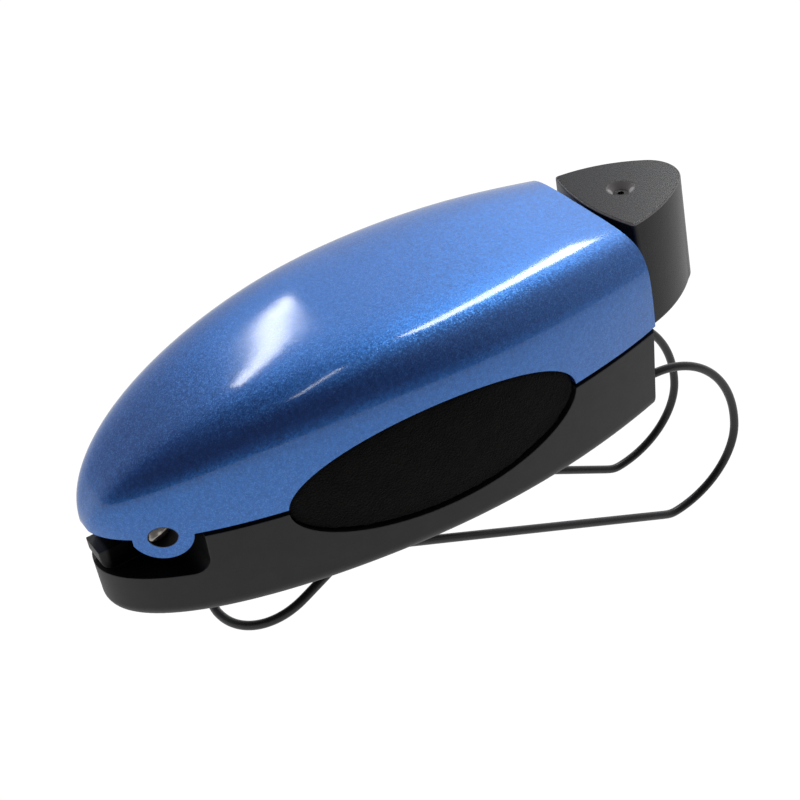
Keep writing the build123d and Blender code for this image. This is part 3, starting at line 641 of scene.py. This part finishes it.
def wire_centre():
    """Centre line in mm of one side's wire, from its turned-in foot to the lip's middle."""
    root_low, root_high = (Vector(c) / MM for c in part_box("clip_wire_root"))
    arm_low, arm_high = (Vector(c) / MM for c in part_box("clip_wire_arm"))
    rear_y = root_high.y - WIRE_RADIUS
    front_y = arm_high.y - WIRE_RADIUS
    bend_x = root_high.x - WIRE_RADIUS
    low_z = arm_low.z + WIRE_RADIUS
    foot_x = root_low.x + WIRE_RADIUS
    toe_y = rear_y - FOOT_LENGTH
    points = [Vector((foot_x, toe_y + FOOT_STEP * i, 0)) for i in range(FOOT_POINTS)]
    loop_x = bend_x - LOOP_RADIUS
    for i in range(LEG_STEPS + 1):
        points.append(Vector((foot_x + (loop_x - foot_x) * i / LEG_STEPS, rear_y, 0)))
    for i in range(1, LOOP_STEPS + 1):
        a = math.radians(90 - 90 * i / LOOP_STEPS)
        x = loop_x + LOOP_RADIUS * math.cos(a)
        points.append(Vector((x, rear_y, SPLIT_Z * (1 - math.sin(a)))))
    for i in range(1, LOWER_LOOP_STEPS + 1):
        a = math.radians(90 * i / LOWER_LOOP_STEPS)
        x = bend_x - LOWER_LOOP_RADIUS + LOWER_LOOP_RADIUS * math.cos(a)
        points.append(Vector((x, rear_y, SPLIT_Z + (low_z - SPLIT_Z) * math.sin(a))))
    nip = Vector((NIP_X, front_y, NIP_Z))
    start = points[-1].copy()
    points += [start.lerp(nip, i / ARM_STEPS) for i in range(1, ARM_STEPS + 1)]
    lip_end = Vector((LIP_X, 0, LIP_Z))
    lip_way = Vector((lip_end.x - nip.x, 0, lip_end.z - nip.z)).normalized()
    centre = lip_end - lip_way * LIP_ROUND
    lip_start = centre + Vector((0, front_y, 0))
    points += [nip.lerp(lip_start, i / LIP_LEG_STEPS) for i in range(1, LIP_LEG_STEPS + 1)]
    for i in range(1, LIP_STEPS + 1):
        a = math.radians(90 * i / LIP_STEPS)
        across = Vector((0, front_y * math.cos(a), 0))
        points.append(centre + across + lip_way * LIP_ROUND * math.sin(a))
    # pulled bends: the corners outside the plate relax a little
    held = [p.x < PLATE_END_X and p.z > PLATE_FLOOR_Z for p in points]
    for _ in range(RELAX_ROUNDS):
        eased = [p.copy() for p in points]
        for i in range(1, len(points) - 1):
            if not held[i]:
                eased[i] = points[i] * 0.5 + (points[i - 1] + points[i + 1]) * 0.25
        points = eased
    return points


WIRE_SIDES = 16


def rod(name, centre, radius):
    """Closed round rod along a centre line, its frame carried along without twist."""
    bm = bmesh.new()
    rings = []
    along = [
        (centre[min(i + 1, len(centre) - 1)] - centre[max(i - 1, 0)]).normalized()
        for i in range(len(centre))
    ]
    across = along[0].orthogonal().normalized()
    dome = [(-math.cos(t), math.sin(t)) for t in (math.radians(d) for d in (22, 45, 67))]
    bulge = radius * 0.5
    last = len(centre) - 1
    stations = [(centre[0] + along[0] * bulge * z, r, 0) for z, r in dome]
    stations += [(p, 1.0, i) for i, p in enumerate(centre)]
    stations += [(centre[-1] - along[-1] * bulge * z, r, last) for z, r in reversed(dome)]
    for at, share, i in stations:
        across = (across - along[i] * across.dot(along[i])).normalized()
        other = along[i].cross(across)
        ring = []
        for k in range(WIRE_SIDES):
            a = math.tau * k / WIRE_SIDES
            spoke = across * math.cos(a) + other * math.sin(a)
            ring.append(bm.verts.new((at + spoke * radius * share) * MM))
        rings.append(ring)
    for first, second in zip(rings, rings[1:]):
        for k in range(WIRE_SIDES):
            n = (k + 1) % WIRE_SIDES
            bm.faces.new((first[k], second[k], second[n], first[n]))
    bm.faces.new(rings[0])
    bm.faces.new(list(reversed(rings[-1])))
    return finished_mesh(name, bm)


one_side = wire_centre()
other_side = [Vector((p.x, -p.y, p.z)) for p in reversed(one_side[:-1])]
wire_mesh = rod("clip_wire_bent", one_side + other_side, WIRE_RADIUS)
clip_wire = mesh_object("clip_wire_bent", wire_mesh, MATERIALS["black_wire"])
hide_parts("clip_wire_root", "clip_wire_arm")
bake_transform(clip_wire)


# ---- hinge pin with clipped ends ----------------------------------------------------------
PIN_RIDGE_UP = Vector((-0.32, 0, 0.95))
PIN_WEDGE = 0.45
# how far the end has fallen away at each share of the radius
PIN_END = (
    (0.0, 0.0),
    (0.25, 0.0),
    (0.5, 0.01),
    (0.72, 0.03),
    (0.88, 0.08),
    (0.97, 0.2),
    (1.0, 0.42),
)
PIN_SIDES = 48


def pin_mesh(name, half_length, radius):
    """Turned pin whose ends are clipped to a low wedge, the ridge lying aslant."""
    bm = bmesh.new()
    ridge_up = PIN_RIDGE_UP.normalized()
    rings = []
    for end in (-1, 1):
        side = []
        for share, fall in PIN_END:
            ring = []
            for k in range(PIN_SIDES if share else 1):
                a = math.tau * k / PIN_SIDES
                spoke = Vector((math.cos(a), 0, math.sin(a))) * radius * share
                wedge = abs(spoke.dot(ridge_up)) * PIN_WEDGE
                y = end * (half_length - fall - wedge)
                ring.append(bm.verts.new(Vector((PIN_X + spoke.x, y, PIN_Z + spoke.z)) * MM))
            side.append(ring)
        rings.append(side)
    for side in rings:
        for k in range(PIN_SIDES):
            bm.faces.new((side[0][0], side[1][k], side[1][(k + 1) % PIN_SIDES]))
        for first, second in zip(side[1:], side[2:]):
            for k in range(PIN_SIDES):
                n = (k + 1) % PIN_SIDES
                bm.faces.new((first[k], second[k], second[n], first[n]))
    for k in range(PIN_SIDES):
        n = (k + 1) % PIN_SIDES
        bm.faces.new((rings[0][-1][k], rings[1][-1][k], rings[1][-1][n], rings[0][-1][n]))
    return finished_mesh(name, bm)


clipped = pin_mesh("hinge_pin_clipped", pin_high.y, PIN_RADIUS)
pin = mesh_object("hinge_pin_clipped", clipped, MATERIALS["pin_steel"])
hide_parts("hinge_pin")
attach(pin, "base")

# ---- floor, light and camera --------------------------------------------------------------
# the floor lies along the case's standing attitude, below the wire at rest and fully flexed
REST_TILT = math.radians(14.9)
FLOOR_GAP = 0.05
FLOOR_HALF_SIZE = 3.0
FLOOR_GLOW = 0.72
FLOOR_SEEN = 1.06
floor_normal = Vector((math.sin(REST_TILT), 0, math.cos(REST_TILT)))
arm = nodes["clip_wire_arm"].data
flex = joints["clip_flex"]
flexed = Matrix.Rotation(math.radians(max(flex["range_deg"])), 4, Vector(flex["axis"]))
pivot = Vector(flex["pos_m"])
drop = min((flexed @ (v.co - pivot) + pivot).dot(floor_normal) for v in arm.vertices)
drop = min(drop, min(v.co.dot(floor_normal) for v in arm.vertices))
floor_mesh = bpy.data.meshes.new("studio_floor")
bm = bmesh.new()
bmesh.ops.create_grid(bm, x_segments=24, y_segments=24, size=FLOOR_HALF_SIZE)
bm.to_mesh(floor_mesh)
bm.free()
floor_nodes = Nodes("studio_floor_white")
grain = floor_nodes.noise(0.02, 3.0)
paper = floor_nodes.ramp(grain, "Fac", 0.3, 0.7, (0.98, 0.98, 0.98), (1.0, 1.0, 1.0))
glow = floor_nodes.add("ShaderNodeEmission")
floor_nodes.link(paper, 0, glow, "Color")
seen = floor_nodes.add("ShaderNodeLightPath")
strength = floor_nodes.span(seen, "Is Camera Ray", FLOOR_GLOW, FLOOR_SEEN)
floor_nodes.link(strength, 0, glow, "Strength")
floor_nodes.link(glow, 0, floor_nodes.out, 0)
floor = mesh_object("studio_floor", floor_mesh, floor_nodes.material)
floor_turn = floor_normal.to_track_quat("Z", "Y").to_matrix().to_4x4()
floor.matrix_world = Matrix.Translation(floor_normal * (drop - FLOOR_GAP * MM)) @ floor_turn

# what the object sees: a pale sweep behind it and a dim room on the camera's side
SWEEP_WAY = (0.22, 0.84, -0.5)
SWEEP_STEPS = (
    (0.0, (0.058, 0.048, 0.066, 1)),
    (0.3, (0.36, 0.375, 0.43, 1)),
    (0.75, (0.60, 0.61, 0.63, 1)),
)
# and a window's glow low on the right
WINDOW_WAY = (0.97, 0.10, 0.20)
WINDOW_FROM, WINDOW_TO, WINDOW_GLOW = 0.25, 1.0, 0.50

world = bpy.data.worlds.new("studio_world")
scene.world = world
world.use_nodes = True
world_tree = world.node_tree
world_tree.nodes.clear()


def world_node(kind, **settings):
    """New node in the world's tree."""
    node = world_tree.nodes.new(kind)
    for key, value in settings.items():
        setattr(node, key, value)
    return node


def world_link(a, out, b, into):
    """Joins two nodes of the world's tree."""
    world_tree.links.new(a.outputs[out], b.inputs[into])


w_out = world_node("ShaderNodeOutputWorld")
w_mix = world_node("ShaderNodeMixShader")
w_seen = world_node("ShaderNodeBackground")
w_seen.inputs["Color"].default_value = (1, 1, 1, 1)
w_lit = world_node("ShaderNodeBackground")
w_path = world_node("ShaderNodeLightPath")
w_way = world_node("ShaderNodeTexCoord")
w_dot = world_node("ShaderNodeVectorMath", operation="DOT_PRODUCT")
w_dot.inputs[1].default_value = SWEEP_WAY
w_sweep = world_node("ShaderNodeValToRGB")
steps = w_sweep.color_ramp.elements
steps[0].position, steps[0].color = SWEEP_STEPS[0]
steps[1].position, steps[1].color = SWEEP_STEPS[2]
steps.new(SWEEP_STEPS[1][0]).color = SWEEP_STEPS[1][1]
w_right = world_node("ShaderNodeVectorMath", operation="DOT_PRODUCT")
w_right.inputs[1].default_value = WINDOW_WAY
w_glow = world_node("ShaderNodeMapRange")
w_glow.inputs["From Min"].default_value = WINDOW_FROM
w_glow.inputs["From Max"].default_value = WINDOW_TO
w_glow.inputs["To Max"].default_value = WINDOW_GLOW
w_sum = world_node("ShaderNodeMix", data_type="RGBA", blend_type="ADD")
w_sum.inputs[0].default_value = 1.0
world_link(w_way, "Generated", w_dot, 0)
world_link(w_dot, "Value", w_sweep, 0)
world_link(w_way, "Generated", w_right, 0)
world_link(w_right, "Value", w_glow, 0)
world_link(w_sweep, 0, w_sum, 6)
world_link(w_glow, 0, w_sum, 7)
world_link(w_sum, 2, w_lit, 0)
world_link(w_path, "Is Camera Ray", w_mix, 0)
world_link(w_lit, 0, w_mix, 1)
world_link(w_seen, 0, w_mix, 2)
world_link(w_mix, 0, w_out, 0)


def way(azimuth, elevation):
    """Unit direction: azimuth 0 is -Y, 90 is +X."""
    a, e = math.radians(azimuth), math.radians(elevation)
    return Vector((math.sin(a) * math.cos(e), -math.cos(a) * math.cos(e), math.sin(e)))


LAMP_DISTANCE = 0.9


def softbox(name, azimuth, elevation, width, height, power, turn=0.0):
    """Rectangular lamp aimed at the case, its height along the meridian, turned by turn degrees."""
    data = bpy.data.lights.new(name, "AREA")
    data.shape = "RECTANGLE"
    data.size = width
    data.size_y = height
    data.energy = power
    lamp = bpy.data.objects.new(name, data)
    scene.collection.objects.link(lamp)
    out = way(azimuth, elevation)
    up = (Vector((0, 0, 1)) - out * out.z).normalized()
    side = up.cross(out)
    spin = Matrix.Rotation(math.radians(turn), 3, out)
    rows = Matrix((spin @ side, spin @ up, out)).transposed()
    lamp.matrix_world = Matrix.Translation(out * LAMP_DISTANCE) @ rows.to_4x4()


softbox("strip_back_right", 133.5, 45, 0.055, 0.50, 1.4)
softbox("bar_back", 171, 41, 0.27, 0.028, 0.4, turn=33)
softbox("bar_overhead", 164, 85, 0.03, 0.29, 0.2, turn=-25)

CAMERA_AT = Vector((-0.08797, -0.18808, 0.16747))
CAMERA_RIGHT = Vector((0.8393, -0.5292, -0.1243))
CAMERA_BACK = Vector((-0.3637, -0.7166, 0.5951))
CAMERA_LENS = 78.66
CAMERA_SENSOR = 36.0
cam_data = bpy.data.cameras.new("camera")
cam_data.lens = CAMERA_LENS
cam_data.sensor_width = CAMERA_SENSOR
cam_data.clip_start = 0.01
cam_data.clip_end = 20.0
camera = bpy.data.objects.new("camera", cam_data)
scene.collection.objects.link(camera)
back = CAMERA_BACK.normalized()
up = back.cross(CAMERA_RIGHT.normalized()).normalized()
right = up.cross(back).normalized()
camera_turn = Matrix((right, up, back)).transposed().to_4x4()
camera.matrix_world = Matrix.Translation(CAMERA_AT) @ camera_turn
scene.camera = camera
scene.view_settings.view_transform = "Standard"
